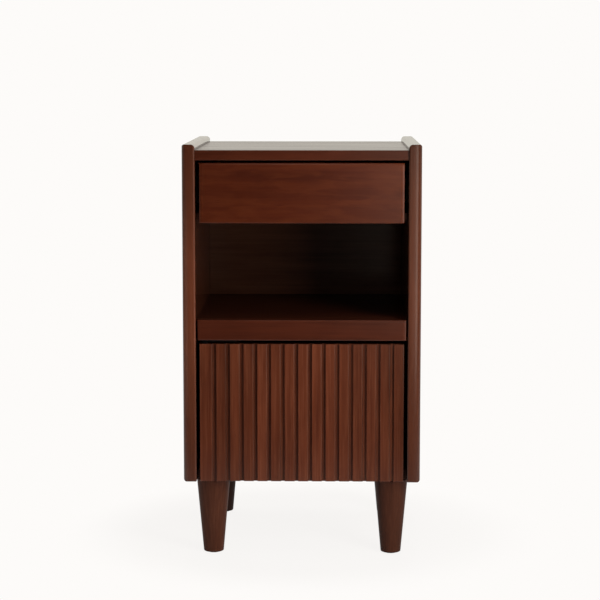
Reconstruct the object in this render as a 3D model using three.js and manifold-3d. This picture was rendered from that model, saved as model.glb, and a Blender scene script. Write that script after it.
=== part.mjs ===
// A narrow nightstand in millimetres: X to the right, the front faces -Y, Z up, floor at zero.
// Two round-nosed side panels carry a drawer, an open shelf and a door faced with upright strips.
import * as THREE from "three";
import { mergeVertices } from "three/addons/utils/BufferGeometryUtils.js";
import Module from "manifold-3d";

// Overall size
const overallWidth = 381;
const overallDepth = 381;
const overallHeight = 668;
const legHeight = 125; // floor to the lower edge of the side panels

// Fits
const fit = 0.2; // glue line or screwed seat between two fixed pieces
const screwHoleRadius = 2.2; // clearance hole of a 4 mm wood screw
const overrun = 5; // how far a cutter runs past the face that it cuts
const weld = 0.001; // vertices closer than this are one vertex

// Side panels: front and rear edges are half ellipses, the top is flat
const sideThickness = 21;
const noseDepth = 8;
const sideTopOuterRadius = 4;
const sideTopInnerRadius = 6.5;
const sideFootOuterRadius = 4.5;
const sideFootInnerRadius = 2;
const sideCornerRadius = 3;

// Boards between the side panels
const frontSetback = 4; // fronts stand this far behind the noses of the sides
const topThickness = 16;
const topDrop = 9; // top surface below the upper edges of the sides
const topArris = 1.4;
const boardArris = 0.8;
const tongueDepth = 6;
const tongueShare = 0.5; // tongue thickness as a share of its board's
const tongueSetback = 12;

// Back panel
const backThickness = 6;
const backInset = 12;
const backTongue = 5; // how far it stands in the groove under the top

// Open shelf
const shelfOpening = 155;
const shelfThickness = 18;
const railHeight = 33;
const railDepth = 22;
const railSideGap = 2.5;
const railArris = 1.6;

// Bottom panel
const bottomThickness = 16;
const bottomRaise = 0.5; // its underside above the feet of the sides

// Drawer front, with a finger cove along the back of its lower edge
const drawerTopGap = 4;
const drawerSideGap = 6.4;
const drawerFrontHeight = 96;
const drawerFrontThickness = 18;
const drawerFrontArris = 1.6;
const fingerCove = 11;
const fingerGap = 23; // free depth behind the drawer front, ahead of the dust panel

// Dust panel under the drawer
const dustThickness = 12;
const dustHide = 2; // its underside above the drawer front's lower edge

// Drawer box
const drawerRise = 3.5; // drawer sides above the dust panel
const drawerSideHeight = 72;
const drawerSideThickness = 12;
const drawerRearGap = 25; // free depth behind the box, ahead of the back panel
const drawerBottomThickness = 6;
const drawerBottomLift = 10;
const drawerGroove = 6;

// Runners: three rolled steel members nested in each other, with rows of balls between them
const runnerHeight = 45;
const runnerWidth = 12.7;
const runnerGauge = 1.2;
const runnerBend = 2;
const runnerSetback = 8; // behind the back of the drawer front
const runnerRearGap = 32; // ahead of the back panel
const runnerFlange = 10.4;
const ballRow = 3.2;
const ballCageWidth = 5;
const ballCageStart = 4.2;
const runnerRunning = 0.4;
const middleShorter = 10;
const runnerHoleShares = [0.08, 0.5, 0.92]; // places of the screw holes along a rail

// Door
const doorTopGap = 5.6;
const doorSideGap = 5.5;
const doorFootGap = 0.6; // its lower edge above the feet of the sides
const doorThickness = 19;
const doorBackGap = 3.5;
const doorBackArris = 1.5;
const stripCount = 15;
const stripProud = 4.5;
const stripGap = 5.8;
const hingeStripWidth = 21; // the strip at the hinge side is the widest
const stripArris = 0.8;

// Pin hinges
const hingeInset = 8; // pin axis from the door's left edge
const hingeSetback = 10; // pin axis behind the door's front
const pinRadius = 2;
const pinLength = 10;
const pinPlay = 0.1;
const plateThickness = 2.5;
const plateNoseRadius = 4;
const plateWidth = 10;
const upperPlateLength = 58;
const lowerPlateLength = 76;
const lowerPlateNeck = 20;
const plateHolePitch = 14;
const bushRadius = 3.5;
const bushLength = 12;
const bushFlangeRadius = 5.2;
const bushFlange = 0.8;
const bushSeatPlay = 0.2;
const bushRunning = 0.3;
const notchPlay = 0.3;

// Push latch, bored into the front edge of the bottom panel
const latchInset = 59; // its axis from the right side panel's inner face
const latchRadius = 5;
const latchLength = 40;
const latchFlangeRadius = 6.5;
const latchFlange = 1.2;
const latchEndWall = 3;
const plungerRadius = 3.2;
const plungerLength = 30;
const plungerPlay = 0.2;
const plungerGap = 0.3;
const plungerArris = 0.8;
const strikeRadius = 7;
const strikeThickness = 1;

// Rubber bumper for the door
const bumperInset = 19; // its axis from the right side panel's inner face
const bumperRadius = 5;
const bumperGap = 0.3;
const bumperArris = 0.8;

// Turned legs, each on a hanger bolt through a round plate, with a glide in its foot
const legInset = 45.5; // leg axis from the outer faces of the carcase
const legTopRadius = 27;
const legFootRadius = 16.4;
const legTopChamfer = 0.8;
const legFootRound = 2;
const legPlateRadius = 20;
const legPlateThickness = 2;
const legPlateHoleCircle = 13.5; // screw holes from the bolt's axis
const legPlateHoles = 4;
const boltRadius = 4;
const boltInLeg = 30;
const boltInPanel = 12;
const boltPoint = 6;
const boltPlay = 0.25;
const boltHolePlay = 0.6;
const glideRadius = 11;
const glideProud = 1.5;
const glideThickness = 3.2;
const glideArris = 0.6;
const glidePlay = 0.2;

// Facets
const arrisSteps = 1; // half the facets of a small rounded edge
const radiusSteps = 3; // half the facets of a large rounded edge
const noseSteps = 9;
const roundSteps = 12;
const legSides = 64;
const turnedSides = 24;
const footRoundSteps = 4;

// Places that several pieces share
const halfWidth = overallWidth / 2;
const noseFront = -overallDepth / 2;
const noseRear = overallDepth / 2;
const innerX = halfWidth - sideThickness;
const faceFront = noseFront + frontSetback;
const footZ = legHeight;
const topHigh = overallHeight - topDrop;
const topLow = topHigh - topThickness;
const drawerFrontHigh = topLow - drawerTopGap;
const drawerFrontLow = drawerFrontHigh - drawerFrontHeight;
const shelfHigh = drawerFrontLow - shelfOpening;
const shelfLow = shelfHigh - shelfThickness;
const railLow = shelfHigh - railHeight;
const doorHigh = railLow - doorTopGap;
const doorLow = footZ + doorFootGap;
const doorHalf = innerX - doorSideGap;
const doorBack = faceFront + doorThickness;
const stripBack = faceFront + stripProud;
const bottomLow = footZ + bottomRaise;
const bottomHigh = bottomLow + bottomThickness;
const bottomFront = doorBack + doorBackGap;
const backRear = noseRear - backInset;
const backFront = backRear - backThickness;
const drawerFrontBack = faceFront + drawerFrontThickness;
const dustLow = drawerFrontLow + dustHide;
const dustHigh = dustLow + dustThickness;
const railBack = faceFront + railDepth;

const wasm = await Module();
wasm.setup();

// A closed three.js geometry as a solid that can be joined and cut.
function solid(geometry) {
  const plain = geometry.index ? geometry.toNonIndexed() : geometry;
  const shell = new THREE.BufferGeometry();
  shell.setAttribute("position", plain.getAttribute("position"));
  const merged = mergeVertices(shell, weld);
  const vertProperties = merged.attributes.position.array;
  const triVerts = new Uint32Array(merged.index.array);
  return new wasm.Manifold(new wasm.Mesh({ numProp: 3, vertProperties, triVerts }));
}

// A solid back as a geometry with flat faces.
function shellOf(body) {
  const { vertProperties, triVerts } = body.getMesh();
  const geometry = new THREE.BufferGeometry();
  geometry.setAttribute("position", new THREE.BufferAttribute(vertProperties, 3));
  geometry.setIndex(new THREE.BufferAttribute(triVerts, 1));
  const flat = geometry.toNonIndexed();
  flat.computeVertexNormals();
  return flat;
}

// The section planes follow the axes in turn: (x, y) along z, (y, z) along x and (z, x) along y.
const axisX = new THREE.Vector3(1, 0, 0);
const axisY = new THREE.Vector3(0, 1, 0);
const axisZ = new THREE.Vector3(0, 0, 1);
const sectionFrames = {
  x: new THREE.Matrix4().makeBasis(axisY, axisZ, axisX),
  y: new THREE.Matrix4().makeBasis(axisZ, axisX, axisY),
  z: new THREE.Matrix4(),
};

// A section swept straight along an axis.
function prism(axis, section, from, to, curveSegments = arrisSteps) {
  const options = { depth: to - from, bevelEnabled: false, curveSegments };
  const geometry = new THREE.ExtrudeGeometry(section, options);
  geometry.translate(0, 0, from);
  geometry.applyMatrix4(sectionFrames[axis]);
  return solid(geometry);
}

// A rectangle whose corners have the radii [low-low, high-low, high-high, low-high].
function rectangle([u0, u1], [v0, v1], [a, b, c, d]) {
  const shape = new THREE.Shape();
  shape.moveTo(u0 + a, v0);
  shape.lineTo(u1 - b, v0);
  if (b > 0) shape.absarc(u1 - b, v0 + b, b, -Math.PI / 2, 0);
  shape.lineTo(u1, v1 - c);
  if (c > 0) shape.absarc(u1 - c, v1 - c, c, 0, Math.PI / 2);
  shape.lineTo(u0 + d, v1);
  if (d > 0) shape.absarc(u0 + d, v1 - d, d, Math.PI / 2, Math.PI);
  shape.lineTo(u0, v0 + a);
  if (a > 0) shape.absarc(u0 + a, v0 + a, a, Math.PI, (3 * Math.PI) / 2);
  return shape;
}

function circle(u, v, radius) {
  return new THREE.Shape().absarc(u, v, radius, 0, 2 * Math.PI);
}

function disc(axis, u, v, radius, from, to) {
  return prism(axis, circle(u, v, radius), from, to, roundSteps);
}

function screwHole(axis, u, v, from, to) {
  return prism(axis, circle(u, v, screwHoleRadius), from, to, roundSteps / 2);
}

function block(x, y, z) {
  const geometry = new THREE.BoxGeometry(x[1] - x[0], y[1] - y[0], z[1] - z[0]);
  geometry.translate((x[0] + x[1]) / 2, (y[0] + y[1]) / 2, (z[0] + z[1]) / 2);
  return solid(geometry);
}

// A board cut square and then run past a rounding cutter on the edges that show.
const square = [0, 0, 0, 0];
function board(x, y, z, { plan = square, side = square, front = square }) {
  return prism("z", rectangle(x, y, plan), z[0], z[1])
    .intersect(prism("x", rectangle(y, z, side), x[0], x[1]))
    .intersect(prism("y", rectangle(z, x, front), y[0], y[1]));
}

// A piece turned about the Z axis from [radius, height] points.
function turned(points, sides = turnedSides) {
  const profile = points.map(([radius, height]) => new THREE.Vector2(radius, height));
  const geometry = new THREE.LatheGeometry(profile, sides);
  geometry.rotateX(Math.PI / 2);
  return solid(geometry);
}

// The same, turned about an axis along Y through (x, z), with heights measured along +Y.
function turnedAlongY(points, x, z) {
  const profile = points.map(([radius, height]) => new THREE.Vector2(radius, height));
  const geometry = new THREE.LatheGeometry(profile, turnedSides);
  geometry.translate(x, 0, z);
  return solid(geometry);
}

const stainedWood = new THREE.MeshStandardMaterial({ color: 0x4f2819, roughness: 0.38 });
const drawerWood = new THREE.MeshStandardMaterial({ color: 0x6b4430, roughness: 0.6 });
const panelBoard = new THREE.MeshStandardMaterial({ color: 0x45261a, roughness: 0.6 });
const zincSteel = new THREE.MeshStandardMaterial({ color: 0xa9abad, roughness: 0.35, metalness: 1 });
const darkSteel = new THREE.MeshStandardMaterial({ color: 0x3a3430, roughness: 0.4, metalness: 1 });
const blackNylon = new THREE.MeshStandardMaterial({ color: 0x1c1b1a, roughness: 0.55 });
const rubber = new THREE.MeshStandardMaterial({ color: 0x2a2724, roughness: 0.9 });

const nightstand = new THREE.Group();
const cabinet = new THREE.Group();
const drawer = new THREE.Group();
const door = new THREE.Group();
nightstand.add(cabinet, drawer, door);

function add(group, name, body, material) {
  const mesh = new THREE.Mesh(shellOf(body), material);
  mesh.name = name;
  group.add(mesh);
  return mesh;
}

// A left-hand piece and its mirror image on the right.
function addPair(group, name, body, material) {
  add(group, `${name}_left`, body, material);
  add(group, `${name}_right`, body, material).scale.x = -1;
}

// Boards housed in the side panels: a body between the sides and a tongue on each end.
const boards = {
  top: { low: topLow, high: topHigh, front: faceFront, rear: -faceFront },
  dust: { low: dustLow, high: dustHigh, front: drawerFrontBack + fingerGap, rear: backFront - fit },
  shelf: { low: shelfLow, high: shelfHigh, front: railBack + fit, rear: backFront - fit },
  bottom: { low: bottomLow, high: bottomHigh, front: bottomFront, rear: backFront - fit },
};

function tongue({ low, high }) {
  const middle = (low + high) / 2;
  const half = ((high - low) * tongueShare) / 2;
  return [middle - half, middle + half];
}

function tongueRun({ front, rear }) {
  return [front + tongueSetback, Math.min(rear, backFront - fit)];
}

function housedBoard(place, arris) {
  const { low, high, front, rear } = place;
  const reach = innerX - fit;
  const rounded = [arris, arris, arris, arris];
  const body = board([-reach, reach], [front, rear], [low, high], { side: rounded });
  const ends = block([-reach - tongueDepth, reach + tongueDepth], tongueRun(place), tongue(place));
  return body.add(ends);
}

// The housing for a board's tongue, cut in the left side panel and open to the back groove.
function housing(place) {
  const [low, high] = tongue(place);
  const [front, rear] = tongueRun(place);
  const depth = [-innerX - tongueDepth, -innerX + overrun];
  return block(depth, [front - fit, rear + 2 * fit], [low - fit, high + fit]);
}

const backGroove = [backFront - fit, backRear + fit];

// Side panels: a nosed plan, an elevation with unequal radii and softened corners in side view
function nosedPlan() {
  const centre = -halfWidth + sideThickness / 2;
  const shape = new THREE.Shape();
  const half = sideThickness / 2;
  shape.absellipse(centre, noseFront + noseDepth, half, noseDepth, Math.PI, 2 * Math.PI);
  shape.absellipse(centre, noseRear - noseDepth, half, noseDepth, 0, Math.PI);
  return shape;
}

function sidePanel() {
  const x = [-halfWidth, -innerX];
  const y = [noseFront, noseRear];
  const z = [footZ, overallHeight];
  const elevationRadii = [sideFootOuterRadius, sideTopOuterRadius, sideTopInnerRadius, sideFootInnerRadius];
  const corner = sideCornerRadius;
  let body = prism("z", nosedPlan(), z[0], z[1], noseSteps)
    .intersect(prism("y", rectangle(z, x, elevationRadii), y[0], y[1], radiusSteps))
    .intersect(prism("x", rectangle(y, z, [corner, corner, corner, corner]), x[0], x[1], radiusSteps));
  for (const place of Object.values(boards)) body = body.subtract(housing(place));
  const grooveDepth = [-innerX - tongueDepth, -innerX + overrun];
  return body.subtract(block(grooveDepth, backGroove, [footZ - overrun, topLow + backTongue]));
}
addPair(cabinet, "side_panel", sidePanel(), stainedWood);

// Top panel, with a groove underneath for the back panel
const topGroove = block([-halfWidth, halfWidth], backGroove, [topLow - overrun, topLow + backTongue]);
add(cabinet, "top_panel", housedBoard(boards.top, topArris).subtract(topGroove), stainedWood);

// Dust panel between the drawer and the open shelf
add(cabinet, "dust_panel", housedBoard(boards.dust, boardArris), stainedWood);

// Shelf panel, tongued into the thick rail that forms its front edge
const railHalf = innerX - railSideGap;
const shelfTongue = tongue(boards.shelf);
const shelfTongueHalf = railHalf - tongueSetback;
const shelfFrontTongue = block(
  [-shelfTongueHalf, shelfTongueHalf],
  [railBack - tongueDepth + fit, railBack + overrun],
  shelfTongue,
);
add(cabinet, "shelf_panel", housedBoard(boards.shelf, 0).add(shelfFrontTongue), stainedWood);

const railGroove = block(
  [-shelfTongueHalf - fit, shelfTongueHalf + fit],
  [railBack - tongueDepth, railBack + overrun],
  [shelfTongue[0] - fit, shelfTongue[1] + fit],
);
const shelfRail = board([-railHalf, railHalf], [faceFront, railBack], [railLow, shelfHigh], {
  plan: [railArris, railArris, 0, 0],
  side: [railArris, 0, 0, railArris],
  front: [boardArris, boardArris, boardArris, boardArris],
}).subtract(railGroove);
add(cabinet, "shelf_rail", shelfRail, stainedWood);

// Back panel, held in grooves in the sides and the top and screwed to the bottom panel
const backReach = innerX + tongueDepth - fit;
const backHigh = topLow + backTongue - fit;
const backPanel = block([-backReach, backReach], [backFront, backRear], [bottomLow, backHigh]);
add(cabinet, "back_panel", backPanel, panelBoard);

// Pin hinges: places of the pin and its plates
const pinX = -doorHalf + hingeInset;
const pinY = faceFront + hingeSetback;
const upperPlate = [railLow - fit - plateThickness, railLow - fit];
const lowerPlate = [bottomLow, bottomLow + plateThickness];

function plateHoles(u, v, uStep, vStep) {
  return [0, 1].map((step) => circle(u + step * uStep, v + step * vStep, screwHoleRadius));
}

// Upper plate: lies under the shelf rail and points its pin down into the door
function upperHingePlate() {
  const far = pinX + upperPlateLength - plateNoseRadius;
  const nose = plateNoseRadius;
  const half = plateWidth / 2;
  const outline = new THREE.Shape();
  outline.absarc(pinX, pinY, nose, Math.PI / 2, (3 * Math.PI) / 2);
  outline.lineTo(pinX + plateWidth, pinY - half);
  outline.lineTo(far - half, pinY - half);
  outline.absarc(far - half, pinY, half, -Math.PI / 2, Math.PI / 2);
  outline.lineTo(pinX + plateWidth, pinY + half);
  outline.holes = plateHoles(far - half - plateHolePitch, pinY, plateHolePitch, 0);
  const pin = disc("z", pinX, pinY, pinRadius, upperPlate[0] - pinLength, upperPlate[1]);
  return prism("z", outline, upperPlate[0], upperPlate[1], roundSteps / 2).add(pin);
}
add(cabinet, "hinge_plate_upper", upperHingePlate(), darkSteel);

// Lower plate: let into the underside of the bottom panel, its neck in a notch of the door
const lowerPlateEnd = pinY - plateNoseRadius + lowerPlateLength;
function lowerPlateOutline(play) {
  const nose = plateNoseRadius + play;
  const half = plateWidth / 2 + play;
  const shoulder = pinY + lowerPlateNeck - play;
  const outline = new THREE.Shape();
  outline.absarc(pinX, pinY, nose, Math.PI, 2 * Math.PI);
  outline.lineTo(pinX + nose, shoulder);
  outline.lineTo(pinX + half, shoulder);
  outline.lineTo(pinX + half, lowerPlateEnd + play);
  outline.lineTo(pinX - half, lowerPlateEnd + play);
  outline.lineTo(pinX - half, shoulder);
  outline.lineTo(pinX - nose, shoulder);
  return outline;
}

function lowerHingePlate() {
  const outline = lowerPlateOutline(0);
  outline.holes = plateHoles(pinX, lowerPlateEnd - plateWidth / 2, 0, -plateHolePitch);
  const pin = disc("z", pinX, pinY, pinRadius, lowerPlate[0], lowerPlate[1] + pinLength);
  return prism("z", outline, lowerPlate[0], lowerPlate[1], roundSteps / 2).add(pin);
}
add(cabinet, "hinge_plate_lower", lowerHingePlate(), darkSteel);

// Legs: turned from [radius, height] above the floor, the same at all four corners
const legTop = bottomLow - legPlateThickness - 2 * fit;
const legPlaces = {
  front_left: [-1, -1],
  front_right: [1, -1],
  rear_left: [-1, 1],
  rear_right: [1, 1],
};
const legX = halfWidth - legInset;
const legY = noseRear - legInset;

function footRound() {
  const points = [];
  const centre = legFootRadius - legFootRound;
  for (let step = 0; step <= footRoundSteps; step++) {
    const angle = (-Math.PI / 2) * (1 - step / footRoundSteps);
    const height = glideProud + legFootRound * (1 + Math.sin(angle));
    points.push([centre + legFootRound * Math.cos(angle), height]);
  }
  return points;
}

function leg() {
  const recess = glideRadius + glidePlay;
  const recessTop = glideThickness + fit;
  const bore = boltRadius + boltPlay;
  const boreFloor = legTop - boltInLeg - fit;
  return turned(
    [
      [0, recessTop],
      [recess, recessTop],
      [recess, glideProud],
      ...footRound(),
      [legTopRadius, legTop - legTopChamfer],
      [legTopRadius - legTopChamfer, legTop],
      [bore, legTop],
      [bore, boreFloor],
      [0, boreFloor],
    ],
    legSides,
  );
}

function hangerBolt() {
  const low = legTop - boltInLeg;
  const high = bottomLow + boltInPanel;
  return turned([
    [0, low],
    [boltRadius, low + boltPoint],
    [boltRadius, high],
    [0, high],
  ]);
}

function legPlate() {
  const outline = circle(0, 0, legPlateRadius);
  outline.holes = [circle(0, 0, boltRadius + boltPlay)];
  const low = legTop + fit;
  const high = low + legPlateThickness;
  let body = prism("z", outline, low, high, roundSteps);
  for (let number = 0; number < legPlateHoles; number++) {
    const angle = (2 * Math.PI * (number + 1 / 2)) / legPlateHoles;
    const x = legPlateHoleCircle * Math.cos(angle);
    const y = legPlateHoleCircle * Math.sin(angle);
    body = body.subtract(screwHole("z", x, y, low - overrun, high + overrun));
  }
  return body;
}

function glide() {
  return turned([
    [0, 0],
    [glideRadius - glideArris, 0],
    [glideRadius, glideArris],
    [glideRadius, glideThickness],
    [0, glideThickness],
  ]);
}

const legSet = [
  ["leg", leg(), stainedWood],
  ["leg_plate", legPlate(), darkSteel],
  ["hanger_bolt", hangerBolt(), zincSteel],
  ["glide", glide(), blackNylon],
];
for (const [corner, [signX, signY]] of Object.entries(legPlaces)) {
  const stand = new THREE.Group();
  stand.position.set(signX * legX, signY * legY, 0);
  for (const [name, body, material] of legSet) add(stand, `${name}_${corner}`, body, material);
  cabinet.add(stand);
}

// Push latch: a sleeve with a flange flush in the bottom panel's edge, and a sprung plunger
const latchX = innerX - latchInset;
const latchZ = (bottomLow + bottomHigh) / 2;
const strikeFace = doorBack + fit + strikeThickness;

function latchSleeve(radiusPlay, lengthPlay) {
  const end = bottomFront + latchLength + lengthPlay;
  const shoulder = bottomFront + latchFlange + lengthPlay;
  return turnedAlongY(
    [
      [0, bottomFront - lengthPlay],
      [latchFlangeRadius + radiusPlay, bottomFront - lengthPlay],
      [latchFlangeRadius + radiusPlay, shoulder],
      [latchRadius + radiusPlay, shoulder],
      [latchRadius + radiusPlay, end],
      [0, end],
    ],
    latchX,
    latchZ,
  );
}

const latchBore = turnedAlongY(
  [
    [0, bottomFront - overrun],
    [plungerRadius + plungerPlay, bottomFront - overrun],
    [plungerRadius + plungerPlay, bottomFront + latchLength - latchEndWall],
    [0, bottomFront + latchLength - latchEndWall],
  ],
  latchX,
  latchZ,
);
add(cabinet, "latch_body", latchSleeve(0, 0).subtract(latchBore), blackNylon);

const plungerFront = strikeFace + plungerGap;
const plunger = turnedAlongY(
  [
    [0, plungerFront],
    [plungerRadius - plungerArris, plungerFront],
    [plungerRadius, plungerFront + plungerArris],
    [plungerRadius, plungerFront + plungerLength],
    [0, plungerFront + plungerLength],
  ],
  latchX,
  latchZ,
);
add(cabinet, "latch_plunger", plunger, blackNylon);

// Rubber bumper on the bottom panel's edge, near the free edge of the door
const bumperBack = bottomFront - fit;
const bumperFront = doorBack + bumperGap;
const bumper = turnedAlongY(
  [
    [0, bumperFront],
    [bumperRadius - bumperArris, bumperFront],
    [bumperRadius, bumperFront + bumperArris],
    [bumperRadius, bumperBack],
    [0, bumperBack],
  ],
  innerX - bumperInset,
  latchZ,
);
add(cabinet, "door_bumper", bumper, rubber);

// Bottom panel, bored for the hanger bolts and the latch and recessed for the lower hinge plate
function bottomPanel() {
  let body = housedBoard(boards.bottom, boardArris);
  for (const [signX, signY] of Object.values(legPlaces)) {
    const hole = boltRadius + boltHolePlay;
    const depth = bottomLow + boltInPanel + boltHolePlay;
    body = body.subtract(disc("z", signX * legX, signY * legY, hole, bottomLow - overrun, depth));
  }
  const recess = prism("z", lowerPlateOutline(fit), bottomLow - overrun, lowerPlate[1] + fit);
  return body.subtract(recess).subtract(latchSleeve(fit, fit));
}
add(cabinet, "bottom_panel", bottomPanel(), stainedWood);

// Runners: channels along Y whose depth is measured from the side panel's inner face
const runnerZ = dustHigh + drawerRise + drawerSideHeight / 2;
const runnerFront = drawerFrontBack + runnerSetback;
const middleHalf = runnerHeight / 2 - runnerGauge - ballRow;
const drawerRailHalf = middleHalf - runnerGauge - ballRow;
const middleWeb = runnerGauge + runnerRunning;

function runnerBlock([z0, z1], [d0, d1], [from, to], radii = square) {
  const face = -innerX + fit;
  const section = rectangle([runnerZ + z0, runnerZ + z1], [face + d0, face + d1], radii);
  return prism("y", section, from, to);
}

// A rolled channel with its web at depth d0 and open towards depth d1, or the other way round.
function channel(half, [d0, d1], run) {
  const inner = half - runnerGauge;
  const [from, to] = run;
  const past = [from - overrun, to + overrun];
  const bend = runnerBend;
  if (d0 < d1) {
    const body = runnerBlock([-half, half], [d0, d1], run, [bend, bend, 0, 0]);
    return body.subtract(runnerBlock([-inner, inner], [d0 + runnerGauge, d1 + overrun], past));
  }
  const body = runnerBlock([-half, half], [d1, d0], run, [0, 0, bend, bend]);
  return body.subtract(runnerBlock([-inner, inner], [d1 - overrun, d0 - runnerGauge], past));
}

const runnerRear = backFront - runnerRearGap;
const railRun = [runnerFront, runnerRear];
const middleRun = [runnerFront, runnerRear - middleShorter];

// Screw holes through a rail's web, from depth d0 to depth d1.
function drilled(rail, [d0, d1]) {
  const face = -innerX + fit;
  let body = rail;
  for (const share of runnerHoleShares) {
    const y = runnerFront + share * (runnerRear - runnerFront);
    body = body.subtract(screwHole("x", y, runnerZ, face + d0 - overrun, face + d1 + overrun));
  }
  return body;
}

const cabinetRail = channel(runnerHeight / 2, [0, runnerFlange], railRun);
addPair(cabinet, "runner_cabinet_rail", drilled(cabinetRail, [0, runnerGauge]), darkSteel);

// The middle member carries the cages of both rows of balls, above and below.
function middleMember() {
  let body = channel(middleHalf, [middleWeb, middleWeb + runnerFlange - runnerGauge], middleRun);
  const cage = [ballCageStart, ballCageStart + ballCageWidth];
  const outerCage = middleHalf + ballRow - runnerRunning;
  const innerCage = drawerRailHalf + runnerRunning;
  const web = middleHalf - runnerGauge / 2;
  for (const [z0, z1] of [[web, outerCage], [innerCage, web], [-outerCage, -web], [-web, -innerCage]]) {
    body = body.add(runnerBlock([z0, z1], cage, middleRun));
  }
  return body;
}
addPair(drawer, "runner_middle", middleMember(), darkSteel);

const drawerRailDepth = [runnerWidth, middleWeb + runnerGauge + runnerRunning];
const drawerRail = channel(drawerRailHalf, drawerRailDepth, railRun);
const drawerRailWeb = [runnerWidth - runnerGauge, runnerWidth];
addPair(drawer, "runner_drawer_rail", drilled(drawerRail, drawerRailWeb), darkSteel);

// Drawer box, hung between the runners
const boxHalf = innerX - 2 * fit - runnerWidth;
const boxLow = dustHigh + drawerRise;
const boxHigh = boxLow + drawerSideHeight;
const boxFront = drawerFrontBack + fit;
const boxRear = backFront - drawerRearGap;
const boxInner = boxHalf - drawerSideThickness;
const drawerBottom = [boxLow + drawerBottomLift, boxLow + drawerBottomLift + drawerBottomThickness];
const drawerGrooveZ = [drawerBottom[0] - fit, drawerBottom[1] + fit];
const roundedTop = [0, boardArris, boardArris, 0];

const drawerSide = board([-boxHalf, -boxInner], [boxFront, boxRear], [boxLow, boxHigh], {
  front: roundedTop,
}).subtract(
  block(
    [-boxInner - drawerGroove, -boxInner + overrun],
    [boxFront - overrun, boxRear + overrun],
    drawerGrooveZ,
  ),
);
addPair(drawer, "drawer_side", drawerSide, drawerWood);

const endHalf = boxInner - fit;
const innerFrontBack = boxFront + drawerSideThickness;
const innerFront = board([-endHalf, endHalf], [boxFront, innerFrontBack], [boxLow, boxHigh], {
  side: [0, 0, boardArris, boardArris],
}).subtract(
  block(
    [-endHalf - overrun, endHalf + overrun],
    [innerFrontBack - drawerGroove, innerFrontBack + overrun],
    drawerGrooveZ,
  ),
);
add(drawer, "drawer_inner_front", innerFront, drawerWood);

const drawerBackLow = drawerBottom[1] + fit;
const drawerBack = board(
  [-endHalf, endHalf],
  [boxRear - drawerSideThickness, boxRear],
  [drawerBackLow, boxHigh],
  { side: [0, 0, boardArris, boardArris] },
);
add(drawer, "drawer_back", drawerBack, drawerWood);

const bottomReach = boxInner + drawerGroove - fit;
const drawerBottomPanel = block(
  [-bottomReach, bottomReach],
  [innerFrontBack - drawerGroove + fit, boxRear],
  drawerBottom,
);
add(drawer, "drawer_bottom", drawerBottomPanel, panelBoard);

// Drawer front, screwed to the box from inside
const drawerFrontHalf = innerX - drawerSideGap;
const frontRound = drawerFrontArris;
const cove = disc("x", drawerFrontBack, drawerFrontLow, fingerCove, -halfWidth, halfWidth);
const drawerFront = board(
  [-drawerFrontHalf, drawerFrontHalf],
  [faceFront, drawerFrontBack],
  [drawerFrontLow, drawerFrontHigh],
  {
    plan: [frontRound, frontRound, 0, 0],
    side: [frontRound, 0, 0, frontRound],
    front: [boardArris, boardArris, boardArris, boardArris],
  },
).subtract(cove);
add(drawer, "drawer_front", drawerFront, stainedWood);

// Door panel, bored for the bushes and notched for the lower plate's neck
const upperBushSeat = doorHigh + fit;
const lowerBushSeat = lowerPlate[1] + bushRunning + bushFlange;
const bushHole = bushRadius + bushSeatPlay;
const notchHigh = lowerBushSeat + fit;
const notchRight = pinX + bushFlangeRadius + notchPlay;

function doorPanel() {
  const arris = doorBackArris;
  const body = board([-doorHalf, doorHalf], [stripBack, doorBack], [doorLow, doorHigh], {
    plan: [0, 0, arris, arris],
    side: [0, arris, arris, 0],
  });
  const notch = block(
    [-doorHalf - overrun, notchRight],
    [stripBack - overrun, doorBack + overrun],
    [doorLow - overrun, notchHigh],
  );
  const upperHole = disc("z", pinX, pinY, bushHole, doorHigh - bushLength - fit, doorHigh + overrun);
  const lowerHole = disc("z", pinX, pinY, bushHole, notchHigh - overrun, notchHigh + bushLength + fit);
  return body.subtract(notch).subtract(upperHole).subtract(lowerHole);
}
add(door, "door_panel", doorPanel(), stainedWood);

// Strips glued on the door panel, rounded on all the edges that show
const stripWidth =
  (2 * doorHalf - hingeStripWidth - (stripCount - 1) * stripGap) / (stripCount - 1);
for (let index = 0; index < stripCount; index++) {
  const right = doorHalf - (stripCount - 1 - index) * (stripWidth + stripGap);
  const left = index === 0 ? -doorHalf : right - stripWidth;
  const strip = board([left, right], [faceFront, stripBack - fit], [doorLow, doorHigh], {
    plan: [stripArris, stripArris, 0, 0],
    side: [stripArris, 0, 0, stripArris],
  });
  add(door, `door_strip_${String(index + 1).padStart(2, "0")}`, strip, stainedWood);
}

// Flanged bushes in the door; the upper one stands up to the plate with a thicker flange
const upperBushFlange = doorTopGap - 2 * fit - plateThickness - bushRunning;
function bush(seat, direction, flange) {
  const flangeFace = seat + direction * flange;
  const tail = seat - direction * bushLength;
  const [from, to] = [Math.min(tail, flangeFace), Math.max(tail, flangeFace)];
  const [low, high] = [Math.min(seat, flangeFace), Math.max(seat, flangeFace)];
  const bore = disc("z", pinX, pinY, pinRadius + pinPlay, from - overrun, to + overrun);
  return disc("z", pinX, pinY, bushRadius, from, to)
    .add(disc("z", pinX, pinY, bushFlangeRadius, low, high))
    .subtract(bore);
}
add(door, "hinge_bush_upper", bush(upperBushSeat, 1, upperBushFlange), blackNylon);
add(door, "hinge_bush_lower", bush(lowerBushSeat, -1, bushFlange), blackNylon);

// Strike plate on the door's back, opposite the plunger
const strike = disc("y", latchZ, latchX, strikeRadius, doorBack + fit, strikeFace);
add(door, "latch_strike", strike, zincSteel);

export default nightstand;
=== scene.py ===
import math
import random

import bmesh
import bpy
from mathutils import Matrix, Vector


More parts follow.
